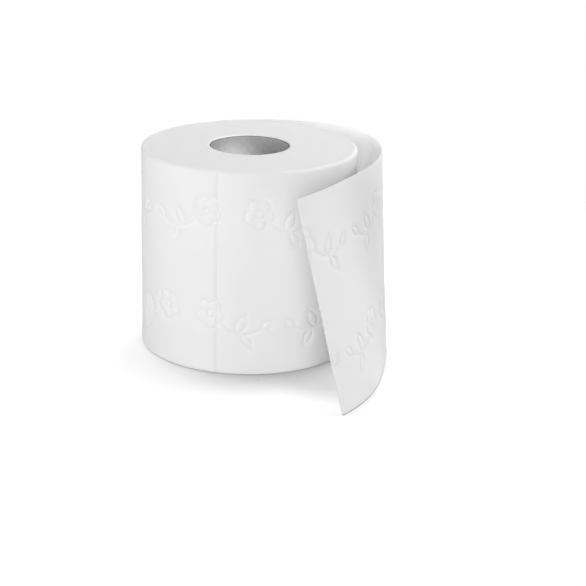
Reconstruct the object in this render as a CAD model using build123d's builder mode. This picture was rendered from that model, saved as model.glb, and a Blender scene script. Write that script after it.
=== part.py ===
"""A toilet paper roll standing on its end, with its last sheets hanging loose.

Millimetres, +Z up. The origin is on the roll's axis, in the plane that the roll stands on, and the
front of the roll faces -Y. Seen from above, the loose end leaves the roll at the back, passes its
right-hand side and stops in front of it. The loose end stands on its lower edge, and it leans in
towards the roll at its upper edge, the more so the nearer it is to its torn end.
"""

import os
from math import cos, radians, sin, sqrt

from build123d import *

# Driving dimensions
roll_diameter = 108.0
sheet_width = 102.0
core_outer_diameter = 40.0
core_wall = 0.7
sheet_thickness = 0.5  # three plies, embossed together

# The loose end, as stations along its lower edge (foot) and its upper edge (head): each is an angle
# about the roll's axis, counted from +X in degrees, and a distance out from the roll's surface.
leaving_angle = 105.0
foot_stations = [(80, 2.3), (52, 7), (22, 12), (-7, 17.5), (-30, 24.8), (-50, 41), (-66.7, 58.5)]
head_stations = [(80, 2.4), (52, 9.5), (22, 12.5), (-8, 11.8), (-32, 12.9), (-52, 15.5), (-74.3, 26)]

roll_radius = roll_diameter / 2
core_radius = core_outer_diameter / 2
root_depth = 2 * sheet_thickness  # how deep under the roll's surface the loose end starts


def on_plan(angle, stand_off):
    """The plan position at an angle about the axis and a distance out from the roll's surface."""
    reach = roll_radius + stand_off
    return Vector(reach * cos(radians(angle)), reach * sin(radians(angle)))


def loose_edge(stations):
    """The middle line of the loose sheet along one of its edges, from its root to its torn end."""
    return Spline(on_plan(leaving_angle, -root_depth), *[on_plan(*s) for s in stations])


# The sheet is as tall where it leans as where it stands straight, so its upper edge sinks towards
# the torn end, from the station beside the roll where the lean begins.
torn_foot, torn_head = on_plan(*foot_stations[-1]), on_plan(*head_stations[-1])
lean = (torn_head - torn_foot).length
torn_height = sqrt(sheet_width**2 - lean**2)
lean_start = on_plan(*head_stations[3])
upper_edge = Plane(
    origin=(0, lean_start.Y, sheet_width),
    x_dir=(1, 0, 0),
    z_dir=Vector(0, sheet_width - torn_height, torn_head.Y - lean_start.Y).normalized() * -1,
)

# Core: a spiral-wound board tube, cut flush with the paper at both ends
with BuildPart() as cardboard_core:
    with BuildSketch():
        Circle(core_radius)
        Circle(core_radius - core_wall, mode=Mode.SUBTRACT)
    extrude(amount=sheet_width)
cardboard_core.part.label = "cardboard_core"

# Paper: the wound turns and the loose end are one strip, so they are one solid
with BuildPart() as paper_roll:
    with BuildSketch():
        with BuildLine():
            loose_edge(foot_stations)
        trace(line_width=sheet_thickness)
    with BuildSketch(Plane.XY.offset(sheet_width)):
        with BuildLine():
            loose_edge(head_stations)
        trace(line_width=sheet_thickness)
    loft(ruled=True)
    split(bisect_by=upper_edge, keep=Keep.BOTTOM)

    with BuildSketch():
        Circle(roll_radius)
        Circle(core_radius, mode=Mode.SUBTRACT)
    extrude(amount=sheet_width)
paper_roll.part.label = "paper_roll"

os.makedirs("parts", exist_ok=True)
export_step(cardboard_core.part, "parts/cardboard_core.step")
export_step(paper_roll.part, "parts/paper_roll.step")
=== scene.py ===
import math

import bpy
import numpy as np
from mathutils import Matrix, Vector
from mathutils.geometry import delaunay_2d_cdt
from mathutils.kdtree import KDTree


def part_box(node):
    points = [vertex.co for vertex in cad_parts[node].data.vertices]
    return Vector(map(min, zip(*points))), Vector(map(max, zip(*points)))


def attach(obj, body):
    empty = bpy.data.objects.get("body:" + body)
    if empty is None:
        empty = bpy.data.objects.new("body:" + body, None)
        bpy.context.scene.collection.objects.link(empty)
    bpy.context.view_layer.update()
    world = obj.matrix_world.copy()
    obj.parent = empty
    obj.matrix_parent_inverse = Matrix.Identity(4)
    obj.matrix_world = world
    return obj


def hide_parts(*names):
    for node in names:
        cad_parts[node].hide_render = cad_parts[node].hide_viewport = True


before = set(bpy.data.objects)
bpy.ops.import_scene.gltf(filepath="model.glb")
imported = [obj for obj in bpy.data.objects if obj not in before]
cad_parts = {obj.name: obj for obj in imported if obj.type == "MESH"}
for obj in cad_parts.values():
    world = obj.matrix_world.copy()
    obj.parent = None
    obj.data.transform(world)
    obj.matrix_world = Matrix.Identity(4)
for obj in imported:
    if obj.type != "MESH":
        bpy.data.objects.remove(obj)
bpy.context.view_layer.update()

# the CAD box, and the sizes that the looks keep to; shapes are worked out in millimetres
paperLow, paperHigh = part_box("paper_roll")
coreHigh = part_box("cardboard_core")[1]
mm = 0.001
rollRadius = -paperLow[0] / mm
sheetWidth = paperHigh[2] / mm
coreRadius = coreHigh[0] / mm
chance = np.random.default_rng(7)
print("frame loaded: roll", round(2 * rollRadius, 1), "mm across,", round(sheetWidth, 1), "mm tall")

# helpers for materials


def newMaterial(name):
    material = bpy.data.materials.new(name)
    material.use_nodes = True
    material.node_tree.nodes.clear()
    return material, material.node_tree


def addNode(tree, kind, at, settings=None, **inputs):
    node = tree.nodes.new(kind)
    node.location = at
    for key, value in (settings or {}).items():
        setattr(node, key, value)
    for key, value in inputs.items():
        node.inputs[key.replace("_", " ")].default_value = value
    return node


def nodeMath(tree, operation, at, a, b=None):
    node = addNode(tree, "ShaderNodeMath", at, {"operation": operation})
    for slot, value in enumerate((a, b)):
        if value is None:
            continue
        if isinstance(value, (int, float)):
            node.inputs[slot].default_value = value
        else:
            tree.links.new(value, node.inputs[slot])
    return node.outputs[0]


def grey(value, warmth=0.0):
    return (value * (1 + warmth), value, value * (1 - warmth), 1)


# paper web: the loose end and the outermost turn are one chart, so far along the web from the torn
# edge (s) and so high up the sheet (h)
web = {
    "thickness": 0.5,
    "leavingAngle": 105.0,  # degrees from +X, where the loose end lifts off the roll
    "foot": [(80, 2.3), (52, 7), (22, 12), (-7, 17.5), (-30, 24.8), (-50, 41), (-66.7, 58.5)],
    "head": [(80, 2.4), (52, 9.5), (22, 12.5), (-8, 11.8), (-32, 12.9), (-52, 15.5), (-74.3, 26)],
    "sheetLength": 118.0,  # from one tear line to the next
    "rimRound": 1.7,
    "rimInsets": (0.0, 0.3, 0.7, 1.2, 1.75),
    "waves": 0.08,  # how far the soft surface wanders
    "dip": 0.07,  # how far the last turn sinks below the place where the loose end lifts off
    # steps between the points of the mesh: open face, rims, tear edge, cross lines, pressed lines
    "grid": 2.3,
    "rimStep": 1.7,
    "tearStep": 0.4,
    "crossStep": 1.2,
    "lineStep": 0.55,
    # the least distance from one point to the next: on pressed lines, on the open face
    "lineApart": 0.3,
    "gridApart": 1.35,
}


def smoothLine(xs, ys):
    # a cubic spline that starts level and ends free
    xs, ys = np.array(xs, float), np.array(ys, float)
    gap, rise = np.diff(xs), np.diff(ys)
    count = len(xs)
    left, right = np.zeros((count, count)), np.zeros(count)
    left[0, 0] = 1
    for i in range(1, count - 1):
        left[i, i - 1 : i + 2] = gap[i], 2 * (gap[i - 1] + gap[i]), gap[i - 1]
        right[i] = 3 * (gap[i] / gap[i - 1] * rise[i - 1] + gap[i - 1] / gap[i] * rise[i])
    left[-1, -2:] = 1, 2
    right[-1] = 3 * rise[-1] / gap[-1]
    slope = np.linalg.solve(left, right)

    def at(x):
        i = np.clip(np.searchsorted(xs, x) - 1, 0, count - 2)
        t = (x - xs[i]) / gap[i]
        a, b = 2 * t**3 - 3 * t**2 + 1, t**3 - 2 * t**2 + t
        c, d = -2 * t**3 + 3 * t**2, t**3 - t**2
        return a * ys[i] + b * gap[i] * slope[i] + c * ys[i + 1] + d * gap[i] * slope[i + 1]

    return at


def looseEdge(stations):
    # plan points of one edge of the loose end, from the roll to the torn end, and how far along
    turned = [0] + [web["leavingAngle"] - angle for angle, out in stations]
    out = smoothLine(turned, [0] + [out for angle, out in stations])
    turn = np.linspace(0, turned[-1], 900)
    angle = np.radians(web["leavingAngle"] - turn)
    reach = rollRadius + out(turn)
    points = np.stack([reach * np.cos(angle), reach * np.sin(angle)], 1)
    along = np.concatenate([[0], np.cumsum(np.linalg.norm(np.diff(points, axis=0), axis=1))])
    return points, along


footPoints, footAlong = looseEdge(web["foot"])
headPoints, headAlong = looseEdge(web["head"])
looseLength = (footAlong[-1] + headAlong[-1]) / 2
webLength = looseLength + 2 * math.pi * rollRadius
print("loose end", round(footAlong[-1]), "mm at the foot,", round(headAlong[-1]), "mm at the head")


def edgeAt(points, along, share):
    return np.stack([np.interp(share * along[-1], along, points[:, k]) for k in (0, 1)], 1)


def webPlace(s, h):
    # the smooth web without its relief
    share = np.clip(1 - s / looseLength, 0, 1)
    foot, head = edgeAt(footPoints, footAlong, share), edgeAt(headPoints, headAlong, share)
    up = h / sheetWidth
    plan = foot + (head - foot) * up[:, None]
    lean = np.linalg.norm(head - foot, axis=1)
    loose = np.column_stack([plan, h * np.sqrt(1 - (lean / sheetWidth) ** 2)])
    turned = np.maximum(s - looseLength, 0) / rollRadius
    angle = math.radians(web["leavingAngle"]) + turned
    reach = rollRadius - web["thickness"] * turned / (2 * math.pi)
    wound = np.column_stack([reach * np.cos(angle), reach * np.sin(angle), h])
    return np.where((s < looseLength)[:, None], loose, wound)


def webOutward(s, h):
    step = 0.4
    alongWeb = webPlace(np.minimum(s + step, webLength), h) - webPlace(np.maximum(s - step, 0), h)
    upWeb = webPlace(s, h + step) - webPlace(s, h - step)
    outward = np.cross(alongWeb, upWeb)
    return outward / np.linalg.norm(outward, axis=1)[:, None]


# pressed lines: a generic blossom sprig, and the slits of the tear lines
sprig = {
    "alongPitch": 47.0,
    "upPitch": 51.0,
    "firstAlong": 9.0,
    "firstUp": 27.0,
    "size": 1.12,
    "petals": 5,
    "petalReach": 6.6,
    "lineWidth": 1.35,
    "depth": 0.43,
}
slit = {"length": 2.7, "pitch": 4.0, "width": 0.66, "depth": 0.35}


def turnedBy(points, degrees, to):
    a = math.radians(degrees)
    turn = np.array([[math.cos(a), math.sin(a)], [-math.sin(a), math.cos(a)]])
    return points @ turn + np.array(to)


def leafLine(length, width, degrees, to):
    t = np.linspace(0, 1, 40)
    side = width / 2 * np.sin(math.pi * t**0.85) ** 1.1
    rim = np.concatenate([np.column_stack([length * t, side]), np.column_stack([length * t, -side])[::-1]])
    return turnedBy(rim, degrees, to)


def blossomLine(reach, petals, to):
    a = np.linspace(0, 2 * math.pi, 161)
    r = reach * (0.66 + 0.34 * np.abs(np.sin(petals * a / 2)) ** 0.6)
    return np.column_stack([r * np.cos(a + 0.35), r * np.sin(a + 0.35)]) + np.array(to)


def ringLine(reach, to):
    a = np.linspace(0, 2 * math.pi, 40)
    return np.column_stack([reach * np.cos(a), reach * np.sin(a)]) + np.array(to)


def bendLine(start, pull, end):
    t = np.linspace(0, 1, 60)[:, None]
    start, pull, end = np.array(start), np.array(pull), np.array(end)
    return (1 - t) ** 2 * start + 2 * t * (1 - t) * pull + t**2 * end


def sprigLines():
    return [
        blossomLine(sprig["petalReach"], sprig["petals"], (-9.5, 3.2)),
        ringLine(1.5, (-9.5, 3.2)),
        bendLine((-4.2, -0.6), (3.5, -8.5), (13.0, -3.0)),
        leafLine(9.5, 4.4, 62, (2.2, -4.6)),
        leafLine(8.0, 3.6, -58, (4.6, -5.6)),
        leafLine(6.4, 3.4, 38, (13.0, -3.0)),
    ]


def evenly(line, step):
    along = np.concatenate([[0], np.cumsum(np.linalg.norm(np.diff(line, axis=0), axis=1))])
    count = max(2, int(round(along[-1] / step)) + 1)
    want = np.linspace(0, along[-1], count)
    return np.stack([np.interp(want, along, line[:, k]) for k in (0, 1)], 1)


def pressedLines():
    # every pressed line of the web, as (points, half width, depth)
    lines = []
    row, up = 0, sprig["firstUp"] - sprig["upPitch"]
    while up < sheetWidth + sprig["upPitch"]:
        along = sprig["firstAlong"] - sprig["alongPitch"] + (row % 2) * sprig["alongPitch"] / 2
        column = 0
        while along < webLength + sprig["alongPitch"]:
            for line in sprigLines():
                flip = np.array([1 if (column + row) % 2 else -1, 1]) * sprig["size"]
                placed = line * flip + np.array([along, up])
                lines.append((placed, sprig["lineWidth"] / 2, sprig["depth"]))
            along += sprig["alongPitch"]
            column += 1
        up += sprig["upPitch"]
        row += 1
    count = int((sheetWidth - 1) // slit["pitch"])
    first = (sheetWidth - (count - 1) * slit["pitch"]) / 2
    tearLine = web["sheetLength"]
    while tearLine < webLength:
        for i in range(count):
            middle = first + i * slit["pitch"]
            ends = np.array([[tearLine, middle - slit["length"] / 2], [tearLine, middle + slit["length"] / 2]])
            lines.append((ends, slit["width"] / 2, slit["depth"]))
        tearLine += web["sheetLength"]
    return lines


# chart points: close together along the pressed lines and edges, wide apart between them


def chartPoints(lines):
    length, width = webLength, sheetWidth
    tearStep, crossStep = web["tearStep"], web["crossStep"]
    rims = [inset for inset in web["rimInsets"] if inset > 0]
    clear = web["rimInsets"][-1] + 0.45
    columns = []
    for s, step in ((0.0, tearStep), (0.5, 2 * tearStep), (looseLength, crossStep), (length, crossStep)):
        h = np.linspace(0, width, int(round(width / step)) + 1)
        if step == crossStep:
            # these columns take the heights of the rim rows
            h = h[(h == 0) | (h == width) | ((h > clear) & (h < width - clear))]
            h = np.sort(np.concatenate([h, rims, [width - inset for inset in rims]]))
        columns.append(np.column_stack([np.full(len(h), s), h]))
    looseSteps = np.linspace(0, looseLength, int(round(looseLength / web["rimStep"])) + 1)
    woundSteps = np.linspace(looseLength, length, int(round((length - looseLength) / web["rimStep"])) + 1)
    rimSteps = np.unique(np.concatenate([looseSteps, woundSteps]))
    rows = []
    for inset in web["rimInsets"]:
        for h in (inset, width - inset):
            rows.append(np.column_stack([rimSteps, np.full(len(rimSteps), h)]))
    edges = np.concatenate([columns[0], columns[2], columns[3]] + rows[:2])
    inner = [columns[1]] + rows[2:]
    for line, half, depth in lines:
        points = evenly(line, web["lineStep"])
        lean = np.gradient(points, axis=0)
        across = np.column_stack([-lean[:, 1], lean[:, 0]])
        across /= np.maximum(np.linalg.norm(across, axis=1), 1e-9)[:, None]
        inner += [points, points + across * half * 0.5, points - across * half * 0.5]
        inner += [points + across * half, points - across * half]
    grid = web["grid"]
    spread = []
    for i, h in enumerate(np.arange(grid, width - 0.5 * grid, grid * 0.87)):
        s = np.arange(grid * (0.5 + 0.5 * (i % 2)), length - 0.3 * grid, grid)
        spread.append(np.column_stack([s, np.full(len(s), h)]))
    return edges, np.concatenate(inner), np.concatenate(spread)


def keepApart(groups):
    # earlier groups win; each group keeps its own distance from what is there
    total = sum(len(points) for points, apart in groups)
    tree = KDTree(total)
    everything = np.concatenate([points for points, apart in groups])
    for i, point in enumerate(everything):
        tree.insert((point[0], point[1], 0), i)
    tree.balance()
    kept = np.zeros(total, bool)
    start = 0
    for points, apart in groups:
        for i in range(start, start + len(points)):
            if apart == 0:
                kept[i] = True
                continue
            near = tree.find_range((everything[i, 0], everything[i, 1], 0), apart)
            kept[i] = not any(kept[j] for place, j, distance in near)
        start += len(points)
    return everything[kept]


def pressDepth(points, lines):
    # how deep the sheet is pressed at each chart point
    samples, halves, depths = [], [], []
    for line, half, depth in lines:
        fine = evenly(line, 0.1)
        reach = np.array([webLength, sheetWidth]) + 2
        fine = fine[np.all((fine > -2) & (fine < reach), axis=1)]
        samples.append(fine)
        halves += [half] * len(fine)
        depths += [depth] * len(fine)
    samples = np.concatenate(samples)
    tree = KDTree(len(samples))
    for i, point in enumerate(samples):
        tree.insert((point[0], point[1], 0), i)
    tree.balance()
    pressed = np.zeros(len(points))
    for i, point in enumerate(points):
        place, j, distance = tree.find((point[0], point[1], 0))
        if distance < halves[j]:
            pressed[i] = depths[j] * (0.5 + 0.5 * math.cos(math.pi * distance / halves[j]))
    return pressed


def softWaves(s, h):
    # the slight unevenness of soft paper, in lengths of 20 to 60 mm
    total = np.zeros(len(s))
    for i in range(9):
        longWave, upWave = chance.uniform(0.08, 0.26), chance.uniform(0.02, 0.14)
        total += np.sin(s * longWave + h * upWave * chance.choice([-1, 1]) + chance.uniform(0, 6.3)) / 3
    return total


def fadeNear(s, lines, start, end):
    # 0 up to `start` from the given lines across the web, 1 from `end` on
    away = np.min([np.abs(s - line) for line in lines], axis=0)
    t = np.clip((away - start) / (end - start), 0, 1)
    return t * t * (3 - 2 * t)


lines = pressedLines()
edges, inner, spread = chartPoints(lines)
margin = 0.25
inside = (inner[:, 0] > margin) & (inner[:, 0] < webLength - margin)
inside &= (inner[:, 1] > margin) & (inner[:, 1] < sheetWidth - margin)
inside &= np.abs(inner[:, 0] - looseLength) > web["lineApart"]
edges = np.unique(edges.round(6), axis=0)
chart = keepApart([(edges, 0), (inner[inside], web["lineApart"]), (spread, web["gridApart"])])
print("web chart:", len(chart), "points")
root = np.flatnonzero(np.abs(chart[:, 0] - looseLength) < 1e-4)
root = root[np.argsort(chart[root, 1])]
rootLine = [(int(a), int(b)) for a, b in zip(root[:-1], root[1:])]
made = delaunay_2d_cdt([Vector(p) for p in chart], rootLine, [], 0, 1e-6, False)
chart = np.array([tuple(v) for v in made[0]])
triangles = np.array([list(f) for f in made[2]])
print("web chart:", len(triangles), "triangles")

tear = {"bridgeHalf": 0.55, "standBack": 0.32, "ragged": 0.7, "within": 1.6}


def tearShift(s, h):
    # the torn edge stands back between the torn bridges, which end in short fibres
    away = np.abs((h - sheetWidth / 2 + slit["pitch"] / 2) % slit["pitch"] - slit["pitch"] / 2)
    bridge = np.clip(1.5 - away / tear["bridgeHalf"], 0, 1)
    ragged = 0.12 * np.sin(h * 5.1) + 0.1 * np.sin(h * 11.3 + 1) + 0.08 * np.sin(h * 2.3 + 2)
    back = tear["standBack"] * (1 - bridge) + ragged * tear["ragged"] + 0.15
    return np.maximum(back, 0) * np.clip(1 - s / tear["within"], 0, 1)


def rimInset(s, h):
    # the roll's rims are softly rounded: (how far in, how far the height moves)
    r = web["rimRound"]
    deep = np.clip(np.maximum(r - h, h - (sheetWidth - r)) / r, 0, 1)
    turn = deep * math.pi / 2
    inset = r * (1 - np.cos(turn))
    lift = r * (np.sin(turn) - deep) * np.where(h > sheetWidth / 2, 1, -1)
    loose = s < looseLength
    share = np.where(loose, 0, fadeNear(s, (looseLength, webLength), 0, 7))
    return inset * share, lift * share


pressed = pressDepth(chart, lines)
s, h = chart[:, 0], chart[:, 1]
waves = web["waves"] * softWaves(s, h) * fadeNear(s, (looseLength, webLength), 0, 16)
relief = waves - pressed * fadeNear(s, (webLength,), 0, 7)
# where the loose end lifts off, its inner face and the turn below it keep clear of each other
innerRelief = waves - pressed * fadeNear(s, (looseLength,), 7, 15)
relief -= web["dip"] * np.clip((webLength - s) / 3, 0, 1) * (1 - fadeNear(s, (webLength,), 10, 24))
place = webPlace(s + tearShift(s, h), h)
outward = webOutward(s, h)
inset, lift = rimInset(s, h)
outer = place + outward * (relief - inset)[:, None]
outer[:, 2] += lift
outer[:, 2] = np.clip(outer[:, 2], 0, sheetWidth)
inner = place + outward * (innerRelief - web["thickness"])[:, None]
inner[:, 2] = np.clip(inner[:, 2], 0, sheetWidth)

# the mesh: outer face, inner face of the loose end, its thin edges, and the two cut ends
points = [tuple(p) for p in outer]
sheetUv = [(a * mm, b * mm) for a, b in chart]
faces = [tuple(t) for t in triangles]
faceKind = [0] * len(faces)

near = 1e-4
onTear = np.flatnonzero(np.abs(s) < near)
onRoot = np.flatnonzero(np.abs(s - looseLength) < near)
onEnd = np.flatnonzero(np.abs(s - webLength) < near)
endAt = {round(h[i], 3): i for i in onEnd}
innerOf = {}
for i in np.flatnonzero(s < looseLength - near):
    innerOf[i] = len(points)
    points.append(tuple(inner[i]))
    sheetUv.append((s[i] * mm, h[i] * mm))
for i in onRoot:
    innerOf[i] = endAt[round(h[i], 3)]
middle = chart[triangles].mean(axis=1)[:, 0]
for t in triangles[middle < looseLength]:
    faces.append((innerOf[t[0]], innerOf[t[2]], innerOf[t[1]]))
    faceKind.append(0)


def joinEdge(order, flip):
    # the thin edge of the sheet, from its outer face to its inner face
    for a, b in zip(order[:-1], order[1:]):
        quad = (a, b, innerOf[b], innerOf[a])
        faces.append(quad[::-1] if flip else quad)
        faceKind.append(0)


joinEdge(onTear[np.argsort(h[onTear])], False)
onTop = np.flatnonzero(np.abs(h - sheetWidth) < near)
onBottom = np.flatnonzero(np.abs(h) < near)
looseTop = onTop[s[onTop] < looseLength + near]
looseBottom = onBottom[s[onBottom] < looseLength + near]
joinEdge(looseTop[np.argsort(s[looseTop])], False)
joinEdge(looseBottom[np.argsort(s[looseBottom])], True)

# the cut ends show every turn: rings from the rim to the core, each a little higher or lower
ends = {"rings": 22, "unevenness": 0.09, "wobble": 0.04}


def cutEnd(rim, level, facing):
    order = rim[np.argsort(s[rim])]
    order = order[s[order] > looseLength - near]
    around = order[:-1]
    angle = np.arctan2(outer[around, 1], outer[around, 0])
    firstRadius = rollRadius - web["thickness"] - web["rimRound"] - 0.5
    radii = np.linspace(firstRadius, coreRadius, ends["rings"])
    previous = None
    firstRing = None
    for k, radius in enumerate(radii):
        last = k == len(radii) - 1
        offset = 0 if last else chance.uniform(-1, 0) * ends["unevenness"]
        start = len(points)
        wobble = ends["wobble"] * (np.sin(3 * angle + k) + 0.75 * np.sin(7 * angle + 2 * k))
        if last:
            wobble *= 0  # the innermost ring meets the core
        for a, w in zip(angle, wobble):
            r = radius + w
            lift = 0 if last else offset + 0.3 * w - 0.02
            points.append((r * math.cos(a), r * math.sin(a), level + facing * lift))
            sheetUv.append((a * 0.02, radius * mm))
        ring = list(range(start, start + len(angle)))
        if previous is None:
            firstRing = ring
        else:
            for i in range(len(ring)):
                j = (i + 1) % len(ring)
                quad = (previous[i], previous[j], ring[j], ring[i])
                faces.append(quad if facing > 0 else quad[::-1])
                faceKind.append(1)
        previous = ring
    for i in range(len(around)):
        a, b = order[i], order[i + 1]
        j = (i + 1) % len(around)
        quad = (a, b, firstRing[j], firstRing[i])
        faces.append(quad if facing > 0 else quad[::-1])
        faceKind.append(1)
    wedge = (order[0], firstRing[0], order[-1])
    faces.append(wedge if facing > 0 else wedge[::-1])
    faceKind.append(1)
    return previous


topBore = cutEnd(onTop, sheetWidth, 1)
bottomBore = cutEnd(onBottom, 0.0, -1)
for i in range(len(topBore)):
    j = (i + 1) % len(topBore)
    faces.append((topBore[i], topBore[j], bottomBore[j], bottomBore[i]))
    faceKind.append(1)

paperMesh = bpy.data.meshes.new("tissueRoll")
paperMesh.from_pydata([Vector(p) * mm for p in points], [], faces)
paperMesh.polygons.foreach_set("material_index", faceKind)
paperMesh.polygons.foreach_set("use_smooth", [True] * len(faces))
sheetMap = paperMesh.uv_layers.new(name="sheetMap")
cornerPoint = np.zeros(len(paperMesh.loops), int)
paperMesh.loops.foreach_get("vertex_index", cornerPoint)
sheetMap.data.foreach_set("uv", np.array(sheetUv)[cornerPoint].ravel())
paperMesh.validate()
paperMesh.update()
tissueRoll = bpy.data.objects.new("tissueRoll", paperMesh)
bpy.context.collection.objects.link(tissueRoll)
triangleCount = sum(len(p.vertices) - 2 for p in paperMesh.polygons)
print("paper mesh:", len(paperMesh.vertices), "points,", triangleCount, "triangles")

# tissue: matte, very slightly uneven white, with fine crepe across the web and loose fibres
tissue = {
    "lightColour": grey(0.905, 0.001),
    "darkColour": grey(0.885, 0.001),
    "roughness": 0.95,
    "creaseDepth": 0.00005,
    # how much light soaks in, how far on the roll and in the loose end, and where that changes over
    "softness": 1.0,
    "soak": 0.0006,
    "looseSoak": 0.0035,
    "soakChange": (0.12, 0.21),
}


def soakIn(skin):
    skin.inputs["Subsurface Weight"].default_value = tissue["softness"]
    skin.inputs["Subsurface Radius"].default_value = (1, 1, 1)
    skin.inputs["Subsurface Scale"].default_value = tissue["soak"]


def tissueMaterial():
    material, tree = newMaterial("embossedTissue")
    link = tree.links.new
    output = addNode(tree, "ShaderNodeOutputMaterial", (900, 0))
    skin = addNode(tree, "ShaderNodeBsdfPrincipled", (600, 0))
    skin.inputs["Specular IOR Level"].default_value = 0.15
    skin.inputs["Sheen Weight"].default_value = 0.08
    skin.inputs["Sheen Roughness"].default_value = 0.6
    soakIn(skin)
    link(skin.outputs[0], output.inputs[0])
    sheetPlace = addNode(tree, "ShaderNodeUVMap", (-900, 0), {"uv_map": "sheetMap"})
    crepePlace = addNode(tree, "ShaderNodeMapping", (-700, 0), Scale=(2300, 420, 1))
    link(sheetPlace.outputs[0], crepePlace.inputs[0])
    crepe = addNode(tree, "ShaderNodeTexNoise", (-500, 0), Scale=1.0, Detail=3.0, Roughness=0.6)
    link(crepePlace.outputs[0], crepe.inputs["Vector"])
    objectPlace = addNode(tree, "ShaderNodeTexCoord", (-900, -300))
    fibre = addNode(tree, "ShaderNodeTexNoise", (-500, -300), Scale=2600.0, Detail=2.0, Roughness=0.7)
    link(objectPlace.outputs["Object"], fibre.inputs["Vector"])
    cloud = addNode(tree, "ShaderNodeTexNoise", (-500, 300), Scale=55.0, Detail=4.0, Roughness=0.55)
    link(objectPlace.outputs["Object"], cloud.inputs["Vector"])
    fibreHeight = nodeMath(tree, "MULTIPLY", (-350, -300), fibre.outputs[0], 0.4)
    height = nodeMath(tree, "ADD", (-250, -100), crepe.outputs[0], fibreHeight)
    # the loose end is thin enough for light to come through it
    alongWeb = addNode(tree, "ShaderNodeSeparateXYZ", (-700, 500))
    link(sheetPlace.outputs[0], alongWeb.inputs[0])
    soak = addNode(tree, "ShaderNodeMapRange", (-200, 500))
    soak.inputs["From Min"].default_value, soak.inputs["From Max"].default_value = tissue["soakChange"]
    soak.inputs["To Min"].default_value = tissue["looseSoak"]
    soak.inputs["To Max"].default_value = tissue["soak"]
    link(alongWeb.outputs[0], soak.inputs[0])
    link(soak.outputs[0], skin.inputs["Subsurface Scale"])
    bump = addNode(tree, "ShaderNodeBump", (300, -200), Strength=0.6, Distance=tissue["creaseDepth"])
    link(height, bump.inputs["Height"])
    link(bump.outputs[0], skin.inputs["Normal"])
    tone = addNode(tree, "ShaderNodeValToRGB", (0, 200))
    tone.color_ramp.elements[0].position = 0.3
    tone.color_ramp.elements[0].color = tissue["darkColour"]
    tone.color_ramp.elements[1].position = 0.7
    tone.color_ramp.elements[1].color = tissue["lightColour"]
    link(cloud.outputs[0], tone.inputs[0])
    link(tone.outputs[0], skin.inputs["Base Color"])
    rough = addNode(tree, "ShaderNodeMapRange", (0, -50))
    rough.inputs["To Min"].default_value = tissue["roughness"] - 0.07
    rough.inputs["To Max"].default_value = 1.0
    link(fibre.outputs[0], rough.inputs[0])
    link(rough.outputs[0], skin.inputs["Roughness"])
    return material


# the sawn ends, where each turn shows as a hair-fine ring
cutPaper = {
    "lightColour": grey(0.89, 0.001),
    "darkColour": grey(0.85, 0.001),
    "turnsPerMetre": 2400.0,
    "wander": 0.0012,  # how far the rings stray from true circles
    "frayDepth": 0.00012,
}


def cutEndMaterial():
    material, tree = newMaterial("cutPaperEnd")
    link = tree.links.new
    output = addNode(tree, "ShaderNodeOutputMaterial", (900, 0))
    skin = addNode(tree, "ShaderNodeBsdfPrincipled", (600, 0), Roughness=1.0)
    skin.inputs["Specular IOR Level"].default_value = 0.1
    soakIn(skin)
    link(skin.outputs[0], output.inputs[0])
    objectPlace = addNode(tree, "ShaderNodeTexCoord", (-1100, 0))
    split = addNode(tree, "ShaderNodeSeparateXYZ", (-900, 0))
    link(objectPlace.outputs["Object"], split.inputs[0])
    xx = nodeMath(tree, "MULTIPLY", (-750, 100), split.outputs[0], split.outputs[0])
    yy = nodeMath(tree, "MULTIPLY", (-750, -50), split.outputs[1], split.outputs[1])
    reach = nodeMath(tree, "SQRT", (-450, 0), nodeMath(tree, "ADD", (-600, 0), xx, yy))
    wander = addNode(tree, "ShaderNodeTexNoise", (-600, -300), Scale=70.0, Detail=3.0)
    link(objectPlace.outputs["Object"], wander.inputs["Vector"])
    wandering = nodeMath(tree, "MULTIPLY", (-450, -300), wander.outputs[0], cutPaper["wander"])
    shifted = nodeMath(tree, "ADD", (-300, 0), reach, wandering)
    inLine = {"noise_dimensions": "1D"}
    turns = addNode(tree, "ShaderNodeTexNoise", (0, 0), inLine, Scale=1.0, Detail=2.5, Roughness=0.65)
    link(nodeMath(tree, "MULTIPLY", (-150, 0), shifted, cutPaper["turnsPerMetre"]), turns.inputs["W"])
    fray = addNode(tree, "ShaderNodeTexNoise", (0, -300), Scale=1500.0, Detail=3.0, Roughness=0.7)
    link(objectPlace.outputs["Object"], fray.inputs["Vector"])
    frayHeight = nodeMath(tree, "MULTIPLY", (100, -300), fray.outputs[0], 0.8)
    height = nodeMath(tree, "ADD", (200, -200), turns.outputs[0], frayHeight)
    bump = addNode(tree, "ShaderNodeBump", (400, -200), Strength=0.7, Distance=cutPaper["frayDepth"])
    link(height, bump.inputs["Height"])
    link(bump.outputs[0], skin.inputs["Normal"])
    tone = addNode(tree, "ShaderNodeValToRGB", (250, 200))
    tone.color_ramp.elements[0].position = 0.25
    tone.color_ramp.elements[0].color = cutPaper["darkColour"]
    tone.color_ramp.elements[1].position = 0.6
    tone.color_ramp.elements[1].color = cutPaper["lightColour"]
    link(turns.outputs[0], tone.inputs[0])
    link(tone.outputs[0], skin.inputs["Base Color"])
    return material


paperMesh.materials.append(tissueMaterial())
paperMesh.materials.append(cutEndMaterial())
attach(tissueRoll, "root")
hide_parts("paper_roll")
print("paper done")

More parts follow.
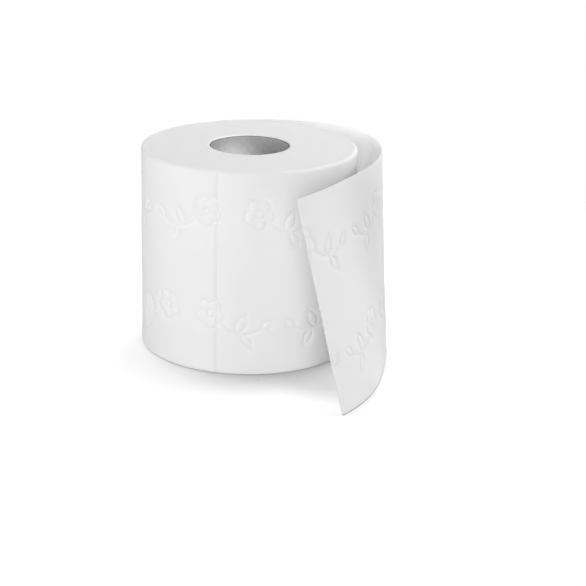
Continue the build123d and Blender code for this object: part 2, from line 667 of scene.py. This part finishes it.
# core: grey board wound on a slant, its seam a shallow helix
core = {
    "wall": 0.7,
    "lead": 118.0,  # how far the seam climbs in one turn
    "around": 180,
    "up": 60,
    "seamDepth": 0.128,
    "seamHalf": 0.9,
    "lipRound": 0.22,
    "outOfRound": 0.06,
    "below": 0.15,  # how far the core stops short of the cut ends
    # dark and light tone of the board, and the painted shade on its lips: a dark tone that stands in for the
    # shadow gap between core and paper
    "board": (grey(0.33, -0.004), grey(0.43, -0.006)),
    "lipPaintedShade": (grey(0.12, -0.004), grey(0.17, -0.004)),
}


def coreMesh():
    outerRadius, innerRadius = coreRadius - 0.04, coreRadius - core["wall"]
    low, high = core["below"], sheetWidth - core["below"]
    lip = core["lipRound"]
    profile = [(outerRadius, low + lip), (outerRadius, high - lip)]
    for k in range(1, 4):
        turn = k * math.pi / 6
        profile.append((outerRadius - lip * (1 - math.cos(turn)), high - lip + lip * math.sin(turn)))
    for k in range(0, 4):
        turn = k * math.pi / 6
        profile.append((innerRadius + lip * (1 - math.sin(turn)), high - lip + lip * math.cos(turn)))
    heights = np.linspace(high - lip, low + lip, core["up"])[1:-1]
    profile += [(innerRadius, z) for z in heights]
    for k in range(0, 4):
        turn = k * math.pi / 6
        profile.append((innerRadius + lip * (1 - math.cos(turn)), low + lip - lip * math.sin(turn)))
    for k in range(0, 3):
        turn = k * math.pi / 6
        profile.append((outerRadius - lip * (1 - math.sin(turn)), low + lip - lip * math.cos(turn)))
    count = core["around"]
    vertices, quads, onLip = [], [], []
    for r, z in profile:
        for i in range(count):
            # the columns climb with the seam, so the first ones lie along it
            a = 2 * math.pi * (i / count + z / core["lead"])
            seam = min(i, count - i) / count * 2 * math.pi * innerRadius
            groove = core["seamDepth"] * math.exp(-((seam / core["seamHalf"]) ** 2))
            if r >= innerRadius + 0.05:
                groove = 0
            oval = core["outOfRound"] * math.sin(2 * a + 0.7) if r < outerRadius - 0.3 else 0
            reach = r + groove + oval
            vertices.append((reach * math.cos(a) * mm, reach * math.sin(a) * mm, z * mm))
    rows = len(profile)
    for k in range(rows):
        n = (k + 1) % rows
        below, above = profile[k][1], profile[n][1]
        for i in range(count):
            j = (i + 1) % count
            quads.append((k * count + i, n * count + i, n * count + j, k * count + j))
            # the lip faces take the second material, the painted shade
            onLip.append(int(min(below, above) >= high - lip - 1e-6 or max(below, above) <= low + lip + 1e-6))
    mesh = bpy.data.meshes.new("boardCore")
    mesh.from_pydata(vertices, [], quads)
    mesh.polygons.foreach_set("use_smooth", [True] * len(quads))
    mesh.polygons.foreach_set("material_index", onLip)
    mesh.validate()
    mesh.update()
    return mesh


def boardMaterial(name, dark, light):
    material, tree = newMaterial(name)
    link = tree.links.new
    output = addNode(tree, "ShaderNodeOutputMaterial", (900, 0))
    skin = addNode(tree, "ShaderNodeBsdfPrincipled", (600, 0))
    skin.inputs["Specular IOR Level"].default_value = 0.25
    link(skin.outputs[0], output.inputs[0])
    place = addNode(tree, "ShaderNodeTexCoord", (-900, 0))
    pulp = addNode(tree, "ShaderNodeTexNoise", (-500, 200), Scale=420.0, Detail=5.0, Roughness=0.65)
    fleck = addNode(tree, "ShaderNodeTexNoise", (-500, -100), Scale=1900.0, Detail=2.0, Roughness=0.6)
    for node in (pulp, fleck):
        link(place.outputs["Object"], node.inputs["Vector"])
    tone = addNode(tree, "ShaderNodeValToRGB", (0, 200))
    tone.color_ramp.elements[0].position = 0.3
    tone.color_ramp.elements[0].color = dark
    tone.color_ramp.elements[1].position = 0.62
    tone.color_ramp.elements[1].color = light
    pulpShare = nodeMath(tree, "MULTIPLY", (-350, 200), pulp.outputs[0], 0.7)
    fleckShare = nodeMath(tree, "MULTIPLY", (-350, -100), fleck.outputs[0], 0.3)
    mixed = nodeMath(tree, "ADD", (-200, 100), pulpShare, fleckShare)
    link(mixed, tone.inputs[0])
    link(tone.outputs[0], skin.inputs["Base Color"])
    rough = addNode(tree, "ShaderNodeMapRange", (0, -50))
    rough.inputs["To Min"].default_value = 0.72
    rough.inputs["To Max"].default_value = 0.95
    link(pulp.outputs[0], rough.inputs[0])
    link(rough.outputs[0], skin.inputs["Roughness"])
    bump = addNode(tree, "ShaderNodeBump", (300, -250), Strength=0.5, Distance=0.0001)
    link(mixed, bump.inputs["Height"])
    link(bump.outputs[0], skin.inputs["Normal"])
    return material


boardCore = bpy.data.objects.new("boardCore", coreMesh())
bpy.context.collection.objects.link(boardCore)
boardCore.data.materials.append(boardMaterial("greyBoard", *core["board"]))
# the lips are painted dark as shade, in place of the shadow gap between core and paper
boardCore.data.materials.append(boardMaterial("boardLipPaintedShade", *core["lipPaintedShade"]))
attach(boardCore, "root")
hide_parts("cardboard_core")
print("core done")

# studio: a white table and soft light from the front left
studio = {
    "tableSize": 12.0,
    "tableColour": grey(0.66),
    "tableLift": 0.5,
    "whiteBeyond": (0.16, 0.34),  # the table turns plain white between these distances
    "contactReach": 0.032,
    # painted contact shadow: how open the table is there, and how bright its colour stays
    "paintedContactShade": ((0.1, 0.2), (1.0, 0.95), (0.4, 0.41), (0.5, 0.57), (0.61, 0.68), (0.72, 0.81)),
    # a painted shadow spot at a fixed place on the table, by the foot of the loose end
    "paintedCornerShadow": {"place": (0.038, -0.07, 0), "reach": 0.03, "shade": 0.7},
    "roomLight": 0.27,
    # soft lamps: where they hang, how wide they are and their watts
    "lamps": {
        "frontFill": ((-0.13, -1.9, 0.42), 1.3, 21.0),
        "frontLeftKey": ((-0.9, -1.5, 0.9), 1.3, 2.0),
        "leftFill": ((-1.7, -0.15, 0.35), 0.6, 7.0),
        "overhead": ((0.28, 0.6, 1.5), 0.5, 5.9),
        "rightBack": ((0.95, 0.6, 0.6), 0.5, 8.8),
    },
    # a narrow lamp that looks down into the core from the right
    "coreLamp": {
        "place": (0.36, -0.43, 0.95),
        "aim": (0.001, 0.001, 0.102),
        "spread": 2.02,
        "blend": 1.0,
        "size": 0.003,
        "power": 130.0,
    },
}


def table():
    half = studio["tableSize"] / 2
    mesh = bpy.data.meshes.new("tableTop")
    corners = [(-half, -half, 0), (half, -half, 0), (half, half, 0), (-half, half, 0)]
    mesh.from_pydata(corners, [], [(0, 1, 2, 3)])
    top = bpy.data.objects.new("tableTop", mesh)
    bpy.context.collection.objects.link(top)
    material, tree = newMaterial("whiteTable")
    link = tree.links.new
    output = addNode(tree, "ShaderNodeOutputMaterial", (600, 0))
    matte = addNode(tree, "ShaderNodeBsdfDiffuse", (0, 250), Color=studio["tableColour"])
    # painted shadow: close in front of the roll the table's colour is darkened by occlusion, as if the roll
    # cut off the light from behind
    behind = addNode(tree, "ShaderNodeCombineXYZ", (-1100, 0), X=-0.3, Y=0.9, Z=0.3)
    contact = addNode(tree, "ShaderNodeAmbientOcclusion", (-900, 0), {"samples": 16})
    contact.inputs["Distance"].default_value = studio["contactReach"]
    link(behind.outputs[0], contact.inputs["Normal"])
    near = addNode(tree, "ShaderNodeValToRGB", (-700, 0))
    stops = near.color_ramp.elements
    for i, (openness, value) in enumerate(studio["paintedContactShade"]):
        stop = stops[i] if i < 2 else stops.new(openness)
        stop.position, stop.color = openness, grey(value)
    link(contact.outputs["AO"], near.inputs[0])
    # and a painted shadow at a fixed place, darkest in the corner between the roll and its loose end
    place = addNode(tree, "ShaderNodeTexCoord", (-1100, -300))
    paintedCornerShadow = studio["paintedCornerShadow"]
    fromCorner = addNode(tree, "ShaderNodeVectorMath", (-900, -200), {"operation": "DISTANCE"})
    fromCorner.inputs[1].default_value = paintedCornerShadow["place"]
    link(place.outputs["Object"], fromCorner.inputs[0])
    deep = addNode(tree, "ShaderNodeMapRange", (-700, -250), {"interpolation_type": "SMOOTHSTEP"})
    deep.inputs["From Max"].default_value = paintedCornerShadow["reach"]
    deep.inputs["To Min"].default_value = paintedCornerShadow["shade"]
    link(fromCorner.outputs["Value"], deep.inputs[0])
    both = nodeMath(tree, "MULTIPLY", (-400, 0), near.outputs[0], deep.outputs[0])
    shade = addNode(tree, "ShaderNodeCombineColor", (-150, 0))
    for slot in range(3):
        link(both, shade.inputs[slot])
    shaded = addNode(tree, "ShaderNodeBsdfDiffuse", (0, 100))
    link(shade.outputs[0], shaded.inputs["Color"])
    lift = addNode(tree, "ShaderNodeEmission", (0, -100), Strength=studio["tableLift"])
    link(shade.outputs[0], lift.inputs["Color"])
    bright = addNode(tree, "ShaderNodeAddShader", (200, 0))
    link(shaded.outputs[0], bright.inputs[0])
    link(lift.outputs[0], bright.inputs[1])
    plain = addNode(tree, "ShaderNodeEmission", (200, -250), Color=(1, 1, 1, 1), Strength=1.0)
    away = addNode(tree, "ShaderNodeVectorMath", (-500, -300), {"operation": "LENGTH"})
    link(place.outputs["Object"], away.inputs[0])
    far = addNode(tree, "ShaderNodeMapRange", (-300, -300), {"interpolation_type": "SMOOTHSTEP"})
    far.inputs["From Min"].default_value, far.inputs["From Max"].default_value = studio["whiteBeyond"]
    link(away.outputs["Value"], far.inputs[0])
    seen = addNode(tree, "ShaderNodeMixShader", (400, -100))
    link(far.outputs[0], seen.inputs[0])
    link(bright.outputs[0], seen.inputs[1])
    link(plain.outputs[0], seen.inputs[2])
    path = addNode(tree, "ShaderNodeLightPath", (0, 400))
    whole = addNode(tree, "ShaderNodeMixShader", (500, 100))
    link(path.outputs["Is Camera Ray"], whole.inputs[0])
    link(matte.outputs[0], whole.inputs[1])
    link(seen.outputs[0], whole.inputs[2])
    link(whole.outputs[0], output.inputs[0])
    mesh.materials.append(material)


def areaLight(name, place, size, power, aim=(0, 0, 0.05)):
    light = bpy.data.lights.new(name, "AREA")
    light.shape = "DISK"
    light.size = size
    light.energy = power
    lamp = bpy.data.objects.new(name, light)
    bpy.context.collection.objects.link(lamp)
    lamp.location = place
    lamp.rotation_euler = (Vector(aim) - Vector(place)).to_track_quat("-Z", "Y").to_euler()


table()
for name, (place, size, power) in studio["lamps"].items():
    areaLight(name, place, size, power)
coreLamp = studio["coreLamp"]
narrow = bpy.data.lights.new("coreLamp", "SPOT")
narrow.energy = coreLamp["power"]
narrow.spot_size = math.radians(coreLamp["spread"])
narrow.spot_blend = coreLamp["blend"]
narrow.shadow_soft_size = coreLamp["size"]
lamp = bpy.data.objects.new("coreLamp", narrow)
bpy.context.collection.objects.link(lamp)
lamp.location = coreLamp["place"]
lamp.rotation_euler = (Vector(coreLamp["aim"]) - Vector(coreLamp["place"])).to_track_quat("-Z", "Y").to_euler()
world = bpy.data.worlds.new("whiteRoom")
bpy.context.scene.world = world
world.use_nodes = True
tree = world.node_tree
tree.nodes.clear()
output = addNode(tree, "ShaderNodeOutputWorld", (600, 0))
room = addNode(tree, "ShaderNodeBackground", (0, 100), Color=(1, 1, 1, 1), Strength=studio["roomLight"])
backdrop = addNode(tree, "ShaderNodeBackground", (0, -100), Color=(1, 1, 1, 1), Strength=1.0)
path = addNode(tree, "ShaderNodeLightPath", (0, 400))
mixed = addNode(tree, "ShaderNodeMixShader", (300, 0))
tree.links.new(path.outputs["Is Camera Ray"], mixed.inputs[0])
tree.links.new(room.outputs[0], mixed.inputs[1])
tree.links.new(backdrop.outputs[0], mixed.inputs[2])
tree.links.new(mixed.outputs[0], output.inputs[0])

# camera: a long lens, a little above the roll and in front of it
view = {"place": (0, -0.85957, 0.31772), "yaw": -1.543, "down": 18.829, "roll": 1.263, "lens": 109.07}
camera = bpy.data.objects.new("camera", bpy.data.cameras.new("camera"))
bpy.context.collection.objects.link(camera)
camera.data.lens = view["lens"]
camera.data.clip_start = 0.02
turn = Matrix.Rotation(math.radians(view["yaw"]), 4, "Z")
turn = turn @ Matrix.Rotation(math.radians(90 - view["down"]), 4, "X")
turn = turn @ Matrix.Rotation(math.radians(view["roll"]), 4, "Z")
camera.matrix_world = Matrix.Translation(view["place"]) @ turn
bpy.context.scene.camera = camera
bpy.context.scene.view_settings.view_transform = "Standard"
print("studio done")

bpy.context.view_layer.update()
